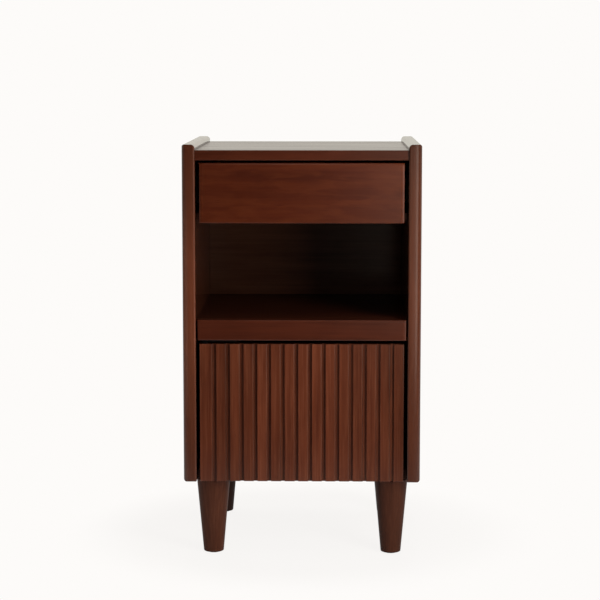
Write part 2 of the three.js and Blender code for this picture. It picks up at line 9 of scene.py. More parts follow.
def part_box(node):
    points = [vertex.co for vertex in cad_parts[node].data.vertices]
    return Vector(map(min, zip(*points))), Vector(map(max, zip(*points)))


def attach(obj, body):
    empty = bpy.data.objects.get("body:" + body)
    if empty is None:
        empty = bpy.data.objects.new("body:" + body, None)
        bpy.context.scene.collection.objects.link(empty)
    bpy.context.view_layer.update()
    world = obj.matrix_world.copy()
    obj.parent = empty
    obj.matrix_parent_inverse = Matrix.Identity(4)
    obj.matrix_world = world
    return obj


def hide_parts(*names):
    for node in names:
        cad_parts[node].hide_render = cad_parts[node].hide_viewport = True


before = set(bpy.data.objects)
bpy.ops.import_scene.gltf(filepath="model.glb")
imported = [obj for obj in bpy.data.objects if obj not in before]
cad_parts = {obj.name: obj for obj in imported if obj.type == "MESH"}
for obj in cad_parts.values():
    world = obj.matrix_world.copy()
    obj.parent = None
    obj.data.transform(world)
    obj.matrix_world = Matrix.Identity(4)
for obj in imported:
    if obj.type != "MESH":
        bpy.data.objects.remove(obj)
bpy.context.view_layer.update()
scene = bpy.context.scene

# Camera
# A long lens on a stand, a little above the cabinet's top and a little to its right.
# It looks down and left at the middle of the front.
mm = 0.001
camera_place = Vector((54.4, -3226, 788.5)) * mm
camera_down = math.radians(6.9)
camera_left = math.radians(1.077)
camera_lens = 115.17

camera_data = bpy.data.cameras.new("camera")
camera_data.lens = camera_lens
camera = bpy.data.objects.new("camera", camera_data)
camera.location = camera_place
camera.rotation_euler = (math.pi / 2 - camera_down, 0, camera_left)
scene.collection.objects.link(camera)
scene.camera = camera
scene.view_settings.view_transform = "Standard"


# The studio's walls
# Seamless white paper stands behind and beside the cabinet. The room in front of it, on the
# camera's side, is dimmer, which keeps the lacquered fronts from turning grey.
def screen(red, green, blue):
    """A colour as a screen shows it, 0 to 255, as the linear colour that a shader takes."""
    shares = (red / 255, green / 255, blue / 255)
    line = [s / 12.92 if s <= 0.04045 else ((s + 0.055) / 1.055) ** 2.4 for s in shares]
    return (*line, 1)


class Wire:
    """One socket of a finish. Arithmetic on it adds the finish's Math nodes."""

    def __init__(self, finish, socket):
        self.finish = finish
        self.socket = socket

    def math(self, operation, *values):
        sockets = dict(enumerate(values))
        return self.finish.node("ShaderNodeMath", {"operation": operation}, sockets)

    def __add__(self, other):
        return self.math("ADD", self, other)

    __radd__ = __add__

    def __sub__(self, other):
        return self.math("SUBTRACT", self, other)

    def __rsub__(self, other):
        return self.math("SUBTRACT", other, self)

    def __mul__(self, other):
        return self.math("MULTIPLY", self, other)

    __rmul__ = __mul__

    def step(self, low, high):
        """0 below low, 1 above high and a smooth rise between them."""
        settings = {"interpolation_type": "SMOOTHSTEP"}
        return self.finish.node("ShaderNodeMapRange", settings, {0: self, 1: low, 2: high})


class Finish:
    """The nodes of one material, or of the studio's world."""

    def __init__(self, owner):
        owner.use_nodes = True
        self.owner = owner
        self.tree = owner.node_tree
        self.tree.nodes.clear()

    def node(self, kind, settings=None, sockets=None, output=0):
        """Adds a node with its settings, then the values or links of its sockets."""
        made = self.tree.nodes.new(kind)
        for key, value in (settings or {}).items():
            setattr(made, key, value)
        for key, value in (sockets or {}).items():
            if isinstance(value, Wire):
                self.tree.links.new(value.socket, made.inputs[key])
            else:
                made.inputs[key].default_value = value
        return Wire(self, made.outputs[output]) if len(made.outputs) else made

    def mix(self, share, first, second):
        """The first colour, turning into the second as share goes from 0 to 1."""
        sockets = {0: share, 6: first, 7: second}
        return self.node("ShaderNodeMix", {"data_type": "RGBA"}, sockets, 2)

    def scale(self, colour, amount):
        sockets = {0: colour, "Scale": amount}
        return self.node("ShaderNodeVectorMath", {"operation": "SCALE"}, sockets)


paper = screen(253, 251, 249)
room_level = 0.25
dark_side_level = 0.004
behind_starts = -0.55
behind_whole = -0.05
ceiling_starts = 0.35
ceiling_whole = 0.65
mirror_gain = 1.06
mirrored_paper = screen(255, 252, 240)

world = bpy.data.worlds.new("studio")
scene.world = world
walls = Finish(world)
seen = walls.node("ShaderNodeLightPath", output="Is Camera Ray")
through = walls.node("ShaderNodeLightPath", output="Is Transmission Ray")
mirrored = walls.node("ShaderNodeLightPath", output="Is Glossy Ray")
heading = walls.node("ShaderNodeTexCoord", output="Generated")
rearward = walls.node("ShaderNodeSeparateXYZ", None, {0: heading}, "Y")
upward = walls.node("ShaderNodeSeparateXYZ", None, {0: heading}, "Z")
ceiling = upward.step(ceiling_starts, ceiling_whole)
behind = rearward.step(behind_starts, behind_whole) * (1 - ceiling)
mirror_level = dark_side_level + (mirror_gain - dark_side_level) * behind
shown = seen + through
level = shown + mirrored * mirror_level + (1 - shown - mirrored) * room_level
tint = walls.mix(mirrored, paper, mirrored_paper)
backdrop = walls.node("ShaderNodeBackground", None, {"Color": tint, "Strength": level})
walls.node("ShaderNodeOutputWorld", None, {"Surface": backdrop})

# The studio's floor
# The same white paper laid flat. The camera sees it as white as the walls, and keeps a faint
# share of the cabinet's shadow near its feet.
floor_half = 9
floor_sides = 96
shadow_share = 0.09
shadow_near = 0.26
shadow_far = 0.42
paper_ends = -1.0
paper_starts = -0.25

paper_floor = Finish(bpy.data.materials.new("paper_floor"))
floor_spot = paper_floor.node("ShaderNodeTexCoord", output="Object")
away = paper_floor.node("ShaderNodeVectorMath", {"operation": "LENGTH"}, {0: floor_spot}, "Value")
near = 1 - away.step(shadow_near, shadow_far)
plain = paper_floor.node("ShaderNodeBsdfDiffuse", None, {"Color": screen(232, 230, 228)})
forward = paper_floor.node("ShaderNodeSeparateXYZ", None, {0: floor_spot}, "Y")
lit_floor = forward.step(paper_ends, paper_starts)
mirrored = paper_floor.node("ShaderNodeLightPath", output="Is Glossy Ray")
mirror_level = 1 - mirrored * (1 - dark_side_level) * (1 - lit_floor)
bright = paper_floor.node("ShaderNodeEmission", None, {"Color": paper, "Strength": mirror_level})
watched = (
    paper_floor.node("ShaderNodeLightPath", output="Is Camera Ray")
    + paper_floor.node("ShaderNodeLightPath", output="Is Transmission Ray")
    + mirrored
)
lit = watched * (1 - shadow_share * near)
floor_surface = paper_floor.node("ShaderNodeMixShader", None, {0: lit, 1: plain, 2: bright})
paper_floor.node("ShaderNodeOutputMaterial", None, {"Surface": floor_surface})

floor_shape = bmesh.new()
bmesh.ops.create_circle(floor_shape, cap_ends=True, radius=floor_half, segments=floor_sides)
floor_mesh = bpy.data.meshes.new("floor")
floor_shape.to_mesh(floor_mesh)
floor_mesh.materials.append(paper_floor.owner)
floor = bpy.data.objects.new("floor", floor_mesh)
scene.collection.objects.link(floor)


# The studio's lamps
# Soft boxes on the right, above the front, overhead and behind light the wood, and the lacquer
# doesn't show them. Warmer lamps show only as its sheen: one close to each of the first two
# soft boxes, one on the left, one for the pale wall on the right, and a white card beside the
# camera, which shows towards the right of each front.
warm_white = screen(255, 243, 226)[:3]


def softbox(name, place, aim, width, height, watts, sheen=False):
    """A rectangular lamp that either lights the wood or only shows as sheen in its lacquer."""
    lamp = bpy.data.lights.new(name, "AREA")
    lamp.shape = "RECTANGLE"
    lamp.size = width
    lamp.size_y = height
    lamp.energy = watts
    if sheen:
        lamp.color = warm_white
    box = bpy.data.objects.new(name, lamp)
    box.location = place
    box.rotation_euler = (Vector(aim) - Vector(place)).to_track_quat("-Z", "Y").to_euler()
    box.visible_camera = False
    box.visible_diffuse = not sheen
    box.visible_glossy = sheen
    scene.collection.objects.link(box)


cabinet_middle = (0, 0, 0.35)
right_aim = (0.18, -0.19, 0.5)
softbox("right_softbox", (0.86, -1.22, 0.65), right_aim, 0.5, 1.2, 19.5)
softbox("right_sheen", (0.91, -1.11, 0.77), right_aim, 0.36, 1.38, 3.2, sheen=True)
softbox("right_wall", (0.78, -2.0, 0.7), right_aim, 0.55, 1.6, 1.5, sheen=True)
softbox("left_sheen", (-1.25, -1.05, 0.25), cabinet_middle, 0.6, 0.5, 0.5, sheen=True)
softbox("front_top_softbox", (0.2, -1.0, 2.3), cabinet_middle, 0.8, 0.5, 5)
softbox("front_top_sheen", (0.2, -1.0, 2.2), cabinet_middle, 0.8, 0.5, 2.5, sheen=True)
softbox("top_softbox", (0.1, 0.8, 2.8), cabinet_middle, 1.4, 1.2, 22)
softbox("rear_softbox", (-0.7, 2.1, 0.45), cabinet_middle, 1.2, 0.7, 16)
softbox("white_card", (0.35, -3.3, 0.75), (0.35, 0, 0.75), 0.3, 1.7, 2.3, sheen=True)


# Side panels
# Solid boards of a dark red-brown stained wood under satin lacquer. Their front and rear edges
# are rounded, tightly on the inside and in a long curve on the outside. The boards between
# them and the back are held in housings and grooves cut in their inner faces.
def placed(name, mesh, body, finish, node=None):
    """Puts a finished mesh on its body, in place of its CAD node if it has one."""
    mesh.materials.clear()
    mesh.materials.append(finish)
    piece = bpy.data.objects.new(name, mesh)
    scene.collection.objects.link(piece)
    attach(piece, body)
    if node:
        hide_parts(node)
    return piece


def smoothed(piece, crease=32):
    """Round faces blend into each other, and flat ones stay flat."""
    mesh = piece.data
    for face in mesh.polygons:
        face.use_smooth = True
    mesh.set_sharp_from_angle(angle=math.radians(crease))
    weighted = piece.modifiers.new("flat_faces", "WEIGHTED_NORMAL")
    weighted.keep_sharp = True
    weighted.weight = 100
    return piece


boards_cut = random.Random(7)
square_enough = 0.9999


def cut_from(mesh, tone_and_painted_light=0, flat=square_enough):
    """Gives a board its own stretch of timber, its colour level with any painted light and shade,
    and a mark on its rounded edges for wear and painted highlight.

    A face is flat where its normal lies this near an axis. With 0, none is marked."""
    shift = [boards_cut.uniform(-3, 3) for _ in range(3)]
    count = len(mesh.vertices)
    marks = []
    for face in mesh.polygons:
        rounded = max(abs(part) for part in face.normal) < flat
        marks += [float(rounded)] * len(face.loop_indices)
    mesh.attributes.new("timber", "FLOAT_VECTOR", "POINT")
    mesh.attributes.new("tone_and_painted_light", "FLOAT", "POINT")
    mesh.attributes.new("rubbed_and_highlight", "FLOAT", "CORNER")
    mesh.attributes["timber"].data.foreach_set("vector", shift * count)
    mesh.attributes["tone_and_painted_light"].data.foreach_set("value", [tone_and_painted_light] * count)
    mesh.attributes["rubbed_and_highlight"].data.foreach_set("value", marks)
    return mesh


axes = {"x": (1, 0, 0), "y": (0, 1, 0), "z": (0, 0, 1)}
figure_share = 0.55
pore_share = 0.3
pore_shade = 0.35
sawn_share = 0.45
sawn_shade = 0.45
# Rounded edges are paler, partly worn and partly as a painted highlight
wear_and_highlight_least = 0.05
wear_and_highlight_in_streaks = 0.15
worn_and_highlight_gain = 1.5
uneven = 0.1
ring_polish = 0.04
streak_rise = 0.5
ring_rise = 0.35
relief_strength = 0.16
relief_depth = 0.4 * mm
wood_ior = 1.5
wood_shine = 0
coat_roughness = 0.19
coat_ior = 1.45


def shade(colour, gain):
    """The same colour, darker or paler."""
    return [min(1, part * gain) for part in colour[:3]] + [1]


def stained_wood(
    name,
    along,
    deep,
    body,
    pale,
    straight=0.4,
    lively=0.1,
    dull=0.42,
    lacquer=1,
    thin=0.1,
    painted_light_drift=0,
):
    """Hardwood under stain and satin lacquer, its grain along one axis.

    Straight and lively are the shares of its fine streaks and of its softer glow. Thin is the
    lacquer missing along the grain, and painted_light_drift is the painted light gained per metre
    towards the right (painted shade when negative)."""
    wood = Finish(bpy.data.materials.new(name))
    spot = wood.node("ShaderNodeTexCoord", output="Object")
    sideways = wood.node("ShaderNodeSeparateXYZ", None, {0: spot}, "X")
    timber = wood.node("ShaderNodeAttribute", {"attribute_name": "timber"}, output="Vector")
    tone_and_painted_light = wood.node("ShaderNodeAttribute", {"attribute_name": "tone_and_painted_light"}, output="Fac")
    rubbed_and_highlight = wood.node("ShaderNodeAttribute", {"attribute_name": "rubbed_and_highlight"}, output="Fac")
    spot = wood.node("ShaderNodeVectorMath", {"operation": "ADD"}, {0: spot, 1: timber})

    def grain(across, length, detail=3, rough=0.5, bend=0):
        """Noise with cells of these sizes, in metres, across and along the grain."""
        cells = [1 / length if part else 1 / across for part in axes[along]]
        place = wood.node("ShaderNodeVectorMath", {"operation": "MULTIPLY"}, {0: spot, 1: cells})
        sockets = {"Vector": place, "Scale": 1, "Detail": detail, "Roughness": rough}
        return wood.node("ShaderNodeTexNoise", None, {**sockets, "Distortion": bend})

    # The grain from broad to fine, the soft glow over it, and how evenly the lacquer lies
    figure = grain(45 * mm, 200 * mm, 2, 0.55, 0.6).step(0.32, 0.68)
    growth = grain(11 * mm, 350 * mm, 3, 0.6, 0.4).step(0.34, 0.66)
    streak = grain(2.6 * mm, 110 * mm, 3, 0.6).step(0.42, 0.74)
    pores = grain(1.1 * mm, 16 * mm, 2).step(0.62, 0.78)
    glow = grain(11 * mm, 50 * mm, 2, 0.5, 0.5).step(0.36, 0.72)
    cloudy = grain(50 * mm, 60 * mm, 2)
    sunken = grain(12 * mm, 300 * mm, 2, 0.5, 0.4).step(0.4, 0.75)

    # Sawn ends drink more stain, and rounded edges are paler, partly from wear and partly as a
    # painted highlight
    facing = wood.node("ShaderNodeTexCoord", output="Normal")
    sockets = {0: facing, 1: axes[along]}
    turn = wood.node("ShaderNodeVectorMath", {"operation": "DOT_PRODUCT"}, sockets, "Value")
    sawn_end = turn.math("ABSOLUTE", turn).step(0.75, 0.95)
    wear_and_highlight = rubbed_and_highlight * (wear_and_highlight_least + wear_and_highlight_in_streaks * streak) * (1 - sawn_end)

    colour = wood.mix(figure * figure_share + growth * (1 - figure_share), deep, body)
    colour = wood.mix(streak * straight + glow * lively, colour, pale)
    colour = wood.mix(pores * pore_share, colour, shade(deep, pore_shade))
    colour = wood.mix(sawn_end * sawn_share, colour, shade(deep, sawn_shade))
    colour = wood.mix(wear_and_highlight, colour, shade(pale, worn_and_highlight_gain))
    # Each board's own tone, with the painted light and shade given to it and painted light
    # towards the right
    colour = wood.scale(colour, tone_and_painted_light + 1 + painted_light_drift * sideways)

    height = streak_rise * streak + ring_rise * growth - pores
    sockets = {"Strength": relief_strength, "Distance": relief_depth, "Height": height}
    surface = wood.node(
        "ShaderNodeBsdfPrincipled",
        None,
        {
            "Base Color": colour,
            "Roughness": dull + uneven * (cloudy + pores) - ring_polish * growth,
            "Normal": wood.node("ShaderNodeBump", None, sockets),
            "IOR": wood_ior,
            "Specular IOR Level": wood_shine,
            "Coat Weight": lacquer * (1 - thin * sunken),
            "Coat Roughness": coat_roughness,
            "Coat IOR": coat_ior,
        },
    )
    wood.node("ShaderNodeOutputMaterial", None, {"Surface": surface})
    return wood.owner


upright_wood = stained_wood(
    "stained_wood_upright",
    "z",
    screen(72, 36, 22),
    screen(84, 43, 27),
    screen(96, 53, 35),
    straight=0.3,
)

nose_depth = 8 * mm
nose_inner = 3 * mm
side_top_outer = 4 * mm
side_top_inner = 6.5 * mm
side_foot_outer = 4.5 * mm
side_foot_inner = 2 * mm
side_corner = 3 * mm
nose_steps = 14
edge_steps = 10
seam = 0.05 * mm
# Painted shade on the side panels' inner faces, where the inside of the cabinet lies in shade
inner_painted_shade = -0.4


def setback(depth, radius):
    """How far a rounded edge has drawn in at this depth below the face."""
    if depth >= radius:
        return 0
    return radius - math.sqrt(radius**2 - (radius - depth) ** 2)


fit = 0.2 * mm
tongue_depth = 6 * mm
tongue_share = 0.5
tongue_setback = 12 * mm
overrun = 5 * mm
sides_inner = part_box("side_panel_right")[0].x
back_low, back_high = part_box("back_panel")

# The boards held by the sides, and how far each one's front tongue reaches into a rail
housed_boards = {"top_panel": 0, "dust_panel": 0, "shelf_panel": tongue_depth, "bottom_panel": 0}


def plain_block(low, high):
    """A box between two corners, to be shaped or to cut with."""
    shape = bmesh.new()
    bmesh.ops.create_cube(shape, size=1)
    for vert in shape.verts:
        vert.co = [(a, b)[part > 0] for a, b, part in zip(low, high, vert.co)]
    mesh = bpy.data.meshes.new("block")
    shape.to_mesh(mesh)
    shape.free()
    return mesh


def evaluated(block):
    """The mesh that an object's modifiers make. The object itself goes."""
    bpy.context.view_layer.update()
    done = block.evaluated_get(bpy.context.evaluated_depsgraph_get())
    finished = bpy.data.meshes.new_from_object(done)
    bpy.data.objects.remove(block)
    return finished


def shaped(mesh, tools, operation="DIFFERENCE"):
    """The mesh after each tool mesh has cut it, or been joined to it."""
    block = bpy.data.objects.new("block", mesh)
    scene.collection.objects.link(block)
    helpers = []
    for tool in tools:
        helper = bpy.data.objects.new("tool", tool)
        scene.collection.objects.link(helper)
        step = block.modifiers.new("shaping", "BOOLEAN")
        step.object = helper
        step.operation = operation
        step.solver = "EXACT"
        helpers.append(helper)
    finished = evaluated(block)
    for helper in helpers:
        bpy.data.objects.remove(helper)
    return finished


def tongue(node, play=0):
    """Height and run of the tongue on a board's ends, grown by some play."""
    low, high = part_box(node)
    half = (high.z - low.z) * tongue_share / 2 + play
    middle = (low.z + high.z) / 2
    front = low.y + housed_boards[node] + tongue_setback - play
    rear = min(high.y, back_low.y - fit) + 2 * play
    return (front, rear), (middle - half, middle + half)


def housings(sign):
    """What a side panel loses for the boards' tongues and the back panel."""
    x = sorted((sign * (sides_inner - overrun), sign * (sides_inner + tongue_depth)))
    cuts = [tongue(node, fit) for node in housed_boards]
    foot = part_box("side_panel_right")[0].z - overrun
    cuts.append(((back_low.y - fit, back_high.y + fit), (foot, back_high.z + fit)))
    return [plain_block((x[0], y[0], z[0]), (x[1], y[1], z[1])) for y, z in cuts]


def painted_light_at(height, painted_light_levels):
    """The painted light and shade at this height on a side panel, blended between the listed
    heights.
    """
    for (low, first), (high, second) in zip(painted_light_levels, painted_light_levels[1:]):
        if height <= high:
            share = max(0, (height - low) / (high - low))
            return first + (second - first) * share
    return painted_light_levels[-1][1]


def side_panel(name, sign, painted_light_levels):
    """A board built up in level rings of one plan, each drawn in near its foot and its top."""
    low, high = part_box(name)
    centre = (low.x + high.x) / 2
    half = (high.x - low.x) / 2
    plan = []
    for end in (1, -1):
        nose = []
        for number in range(-nose_steps, nose_steps + 1):
            turn = math.pi / 2 * number / nose_steps
            wide, deep = 2 * half - nose_inner, nose_depth
            if number < 0:
                wide, deep = nose_inner, nose_inner
            x = nose_inner - half + wide * math.sin(turn)
            nose.append((x, end * (high.y - deep * (1 - math.cos(turn)))))
        plan += nose[::end]
    turns = [math.pi / 2 * number / edge_steps for number in range(edge_steps + 1)]
    rises = [1 - math.cos(turn) for turn in turns]
    levels = [low.z + side_foot_outer * rise for rise in rises]
    levels += [level for level, _ in painted_light_levels[1:-1]]
    levels += [high.z - side_top_inner * rise for rise in reversed(rises)]

    shape = bmesh.new()
    rings = []
    for level in levels:
        above = level - low.z
        below = high.z - level
        outer = half - setback(above, side_foot_outer) - setback(below, side_top_outer)
        inner = half - setback(above, side_foot_inner) - setback(below, side_top_inner)
        reach = high.y - setback(above, side_corner) - setback(below, side_corner)
        ring = []
        for x, y in plan:
            x = max(-inner, min(outer, x))
            y = max(-reach, min(reach, y))
            ring.append(shape.verts.new((centre + sign * x, y, level)))
        rings.append(ring)
    for lower, upper in zip(rings, rings[1:]):
        for number in range(len(plan)):
            after = (number + 1) % len(plan)
            shape.faces.new((lower[number], lower[after], upper[after], upper[number]))
    shape.faces.new(list(reversed(rings[0])))
    shape.faces.new(rings[-1])
    bmesh.ops.remove_doubles(shape, verts=shape.verts, dist=1e-6)
    bmesh.ops.recalc_face_normals(shape, faces=shape.faces)
    mesh = bpy.data.meshes.new(name)
    shape.to_mesh(mesh)
    shape.free()
    mesh = cut_from(shaped(mesh, housings(sign)), flat=0)
    # Painted shade on the inner faces, and painted light and shade up the rest of each board
    shaded = mesh.attributes["tone_and_painted_light"].data
    for vert in mesh.vertices:
        inside = abs(abs(vert.co.x) - sides_inner) < seam
        shaded[vert.index].value = inner_painted_shade if inside else painted_light_at(vert.co.z, painted_light_levels)
    return smoothed(placed(f"{name}_board", mesh, "cabinet", upright_wood, name))


# Heights in metres, and the painted light (above 0) and painted shade (below 0) that each board
# has there
left_painted_light = [(0.13, -0.05), (0.3, 0.4), (0.36, 0.6), (0.48, 0.5), (0.58, 0), (0.65, -0.1)]
right_painted_light = [(0.13, -0.38), (0.28, -0.12), (0.5, 0.03), (0.6, -0.12), (0.65, -0.38)]
side_panel("side_panel_left", -1, left_painted_light)
side_panel("side_panel_right", 1, right_painted_light)

# Top panel and shelf rail
# Boards of the same wood with their grain across the cabinet. The top is let in below the
# upper edges of the sides, and the thick rail is glued to the front edge of the shelf.
level_wood = stained_wood(
    "stained_wood_level",
    "x",
    screen(56, 23, 12),
    screen(74, 31, 17),
    screen(86, 40, 24),
    straight=0.25,
    lively=0.2,
)
top_wood = stained_wood(
    "stained_wood_top",
    "x",
    screen(62, 26, 13),
    screen(78, 34, 19),
    screen(92, 44, 27),
    straight=0.25,
    lively=0.2,
    lacquer=0.78,
    thin=0.25,
)
top_arris = 0.9 * mm
rail_arris = 1.6 * mm
rail_crown = 3.2 * mm
rail_side = 0.6 * mm
sanded_steps = 7
rail_sanded = 5 * mm
rail_sanded_radius = 14 * mm
top_tone = -0.2
rail_tone = -0.14
# Painted light, paler towards the rail's right end where the lamps light it more
rail_painted_light = 0.1
small_arris = 0.8 * mm
arris_steps = 5


def rounded_block(low, high, plan=(0, 0, 0, 0), side=(0, 0, 0, 0), front=(0, 0, 0, 0)):
    """A board whose edges have these radii: along Z for plan, X for side and Y for front,
    each from the low-low corner round by the high-low one."""
    corners = [(0, 0), (1, 0), (1, 1), (0, 1)]
    radii = {}
    for axis, given in ((2, plan), (0, side), (1, front)):
        for corner, radius in zip(corners, given):
            radii[axis, corner] = radius
    largest = max(radii.values())
    mesh = plain_block(low, high)
    shape = bmesh.new()
    shape.from_mesh(mesh)
    middle = (Vector(low) + Vector(high)) / 2
    weights = shape.edges.layers.float.new("bevel_weight_edge")
    for edge in shape.edges:
        run = edge.verts[1].co - edge.verts[0].co
        axis = max(range(3), key=lambda number: abs(run[number]))
        spot = (edge.verts[0].co + edge.verts[1].co) / 2
        sides = ((axis + 1) % 3, (axis + 2) % 3)
        corner = tuple(int(spot[number] > middle[number]) for number in sides)
        edge[weights] = radii[axis, corner] / largest
    shape.to_mesh(mesh)
    shape.free()
    block = bpy.data.objects.new("block", mesh)
    scene.collection.objects.link(block)
    rounding = block.modifiers.new("rounding", "BEVEL")
    rounding.limit_method = "WEIGHT"
    rounding.width = largest
    rounding.segments = arris_steps
    rounding.use_clamp_overlap = False
    return evaluated(block)


def sanded_ends(mesh, low, high, reach, radius):
    """Draws a board's face back in a shallow curve towards its left and right end."""
    shape = bmesh.new()
    shape.from_mesh(mesh)
    for number in range(1, sanded_steps + 1):
        inward = reach * number / sanded_steps
        for x in (low[0] + inward, high[0] - inward):
            everything = shape.verts[:] + shape.edges[:] + shape.faces[:]
            bmesh.ops.bisect_plane(shape, geom=everything, plane_co=(x, 0, 0), plane_no=(1, 0, 0))
    for vert in shape.verts:
        past = reach - min(vert.co.x - low[0], high[0] - vert.co.x)
        if past > 0 and vert.co.y < (low[1] + high[1]) / 2:
            vert.co.y += radius - math.sqrt(radius**2 - past**2)
    shape.to_mesh(mesh)
    shape.free()
    return mesh


def finished_board(node, mesh, body, finish, tone_and_painted_light=0, painted_light_drift=0):
    """A board in place of its node, with painted light gained towards its right end by
    painted_light_drift.
    """
    mesh = cut_from(mesh, tone_and_painted_light)
    low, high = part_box(node)
    for vert, toned in zip(mesh.vertices, mesh.attributes["tone_and_painted_light"].data):
        toned.value += painted_light_drift * (vert.co.x - low.x) / (high.x - low.x)
    return smoothed(placed(f"{node}_board", mesh, body, finish, node))


between_sides = sides_inner - fit
low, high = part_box("top_panel")
top = rounded_block(
    (-between_sides, low.y, low.z),
    (between_sides, high.y, high.z),
    side=(top_arris, small_arris, small_arris, top_arris),
)
tongue_end = sides_inner + tongue_depth - fit
y, z = tongue("top_panel")
tongues = plain_block((-tongue_end, y[0], z[0]), (tongue_end, y[1], z[1]))
groove = plain_block(
    (-sides_inner - overrun, back_low.y - fit, low.z - overrun),
    (sides_inner + overrun, back_high.y + fit, back_high.z + fit),
)
top = shaped(shaped(top, [tongues], "UNION"), [groove])
finished_board("top_panel", top, "cabinet", top_wood, top_tone)

rail_low, rail_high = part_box("shelf_rail")
rail_edges = (rail_arris, small_arris, small_arris, rail_crown)
rail = rounded_block(rail_low, rail_high, side=rail_edges, plan=(rail_side, rail_side, 0, 0))
rail = sanded_ends(rail, rail_low, rail_high, rail_sanded, rail_sanded_radius)
shelf_tongue = tongue("shelf_panel", fit)[1]
shelf_reach = rail_high.x - tongue_setback + fit
groove = plain_block(
    (-shelf_reach, rail_high.y - tongue_depth, shelf_tongue[0]),
    (shelf_reach, rail_high.y + overrun, shelf_tongue[1]),
)
finished_board("shelf_rail", shaped(rail, [groove]), "cabinet", level_wood, rail_tone, rail_painted_light)

# Drawer front
# One wide board with a lively figure, a little redder than the rest. A cove along the back
# of its lower edge gives the fingers a hold.
drawer_wood = stained_wood(
    "stained_wood_drawer",
    "x",
    screen(57, 20, 9),
    screen(72, 28, 12),
    screen(87, 39, 18),
    straight=0.1,
    lively=0.37,
)
front_arris = 1.6 * mm
front_crown = 4 * mm
front_side = 0.6 * mm
front_sanded = 6.5 * mm
front_sanded_radius = 16 * mm
# Painted light, paler towards the drawer front's right end where the lamps light it more
front_painted_light = 0.12
finger_cove = 11 * mm
cove_steps = 64


def rod(radius, start, end, sides):
    """A round bar between two points, to cut a cove with."""
    shape = bmesh.new()
    run = Vector(end) - Vector(start)
    bmesh.ops.create_cone(
        shape, cap_ends=True, segments=sides, radius1=radius, radius2=radius, depth=run.length
    )
    turn = run.normalized().to_track_quat("Z", "Y").to_matrix().to_4x4()
    shape.transform(Matrix.Translation((Vector(start) + Vector(end)) / 2) @ turn)
    mesh = bpy.data.meshes.new("rod")
    shape.to_mesh(mesh)
    shape.free()
    return mesh


low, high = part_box("drawer_front")
front = rounded_block(
    low,
    high,
    plan=(front_side, front_side, 0, 0),
    side=(front_arris, small_arris, small_arris, front_crown),
    front=(small_arris,) * 4,
)
front = sanded_ends(front, low, high, front_sanded, front_sanded_radius)
cove_start = (low.x - overrun, high.y, low.z)
cove_end = (high.x + overrun, high.y, low.z)
front = shaped(front, [rod(finger_cove, cove_start, cove_end, cove_steps)])
finished_board("drawer_front", front, "drawer", drawer_wood, painted_light_drift=front_painted_light)

# Door strips
# Fifteen upright strips of the same wood, glued to the door panel with a groove between each
# pair. They were ripped from different boards, so each has its own tone, and they are painted
# paler towards the middle of the door as painted light. Their left edge is crisp and their right
# one rounded, with painted shade darkening it towards the groove.
strip_arris = 0.8 * mm
strip_crisp = 0.3 * mm
strip_round = 3 * mm
# Painted shade on each strip, faint across its face and deepening over its rounded right edge
face_painted_shade = -0.25
groove_painted_shade = -0.65
strip_tones = random.Random(15)
strip_tone = 0.1
tone_under = -0.09
tone_over = 0.07
# Painted light, paler towards the middle of the door
painted_light_middle = 0.2
painted_light_centre = 0.42
painted_light_reach = 0.46
strip_wood = stained_wood(
    "stained_wood_strip", "z", screen(68, 30, 16), screen(87, 41, 23), screen(108, 60, 39)
)
strips = sorted(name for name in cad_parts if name.startswith("door_strip_"))
strips_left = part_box(strips[0])[0].x
strips_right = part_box(strips[-1])[0].x
for strip in strips:
    low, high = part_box(strip)
    edges = (strip_crisp, strip_round, 0, 0)
    mesh = rounded_block(low, high, plan=edges, side=(strip_arris, 0, 0, strip_arris))
    across = (low.x - strips_left) / (strips_right - strips_left)
    painted_light_share = 1 - ((across - painted_light_centre) / painted_light_reach) ** 2
    tone_and_painted_light = strip_tones.uniform(tone_under, tone_over) + strip_tone + painted_light_middle * painted_light_share
    board = finished_board(strip, mesh, "door", strip_wood, tone_and_painted_light, face_painted_shade)
    # Painted shade deepening over the rounded right edge towards the groove
    shaded = board.data.attributes["tone_and_painted_light"].data
    for vert in board.data.vertices:
        share = max(0, 1 - (high.x - vert.co.x) / strip_round)
        shaded[vert.index].value += (groove_painted_shade - face_painted_shade) * share

# Legs
# Turned from one piece of the same wood each, as straight tapers with a softly rounded foot.
# A bore in the top takes the hanger bolt, and a recess underneath takes the glide.
leg_foot_radius = 16.4 * mm
foot_round = 2 * mm
top_chamfer = 0.8 * mm
bore_play = 0.25 * mm
turned_sides = 96
foot_steps = 8
# Painted shade on each leg, darkest on the rear ones in the shade under the cabinet
leg_painted_shade = {"front_left": 0, "front_right": -0.32, "rear_left": -0.45, "rear_right": -0.15}
leg_wood = stained_wood(
    "stained_wood_leg",
    "z",
    screen(62, 31, 18),
    screen(78, 41, 26),
    screen(94, 54, 36),
    lacquer=0.2,
)


def turned(name, profile, centre, sides=turned_sides):
    """A closed piece turned about an upright axis from (radius, height) points."""
    shape = bmesh.new()
    rings = []
    for radius, height in profile:
        if radius == 0:
            rings.append([shape.verts.new((centre.x, centre.y, height))])
            continue
        ring = []
        for number in range(sides):
            turn = 2 * math.pi * number / sides
            x = centre.x + radius * math.cos(turn)
            y = centre.y + radius * math.sin(turn)
            ring.append(shape.verts.new((x, y, height)))
        rings.append(ring)
    for first, second in zip(rings, rings[1:]):
        for number in range(sides):
            after = (number + 1) % sides
            corners = [first[number % len(first)], first[after % len(first)]]
            corners += [second[after % len(second)], second[number % len(second)]]
            shape.faces.new(list(dict.fromkeys(corners)))
    bmesh.ops.recalc_face_normals(shape, faces=shape.faces)
    mesh = bpy.data.meshes.new(name)
    shape.to_mesh(mesh)
    shape.free()
    return mesh


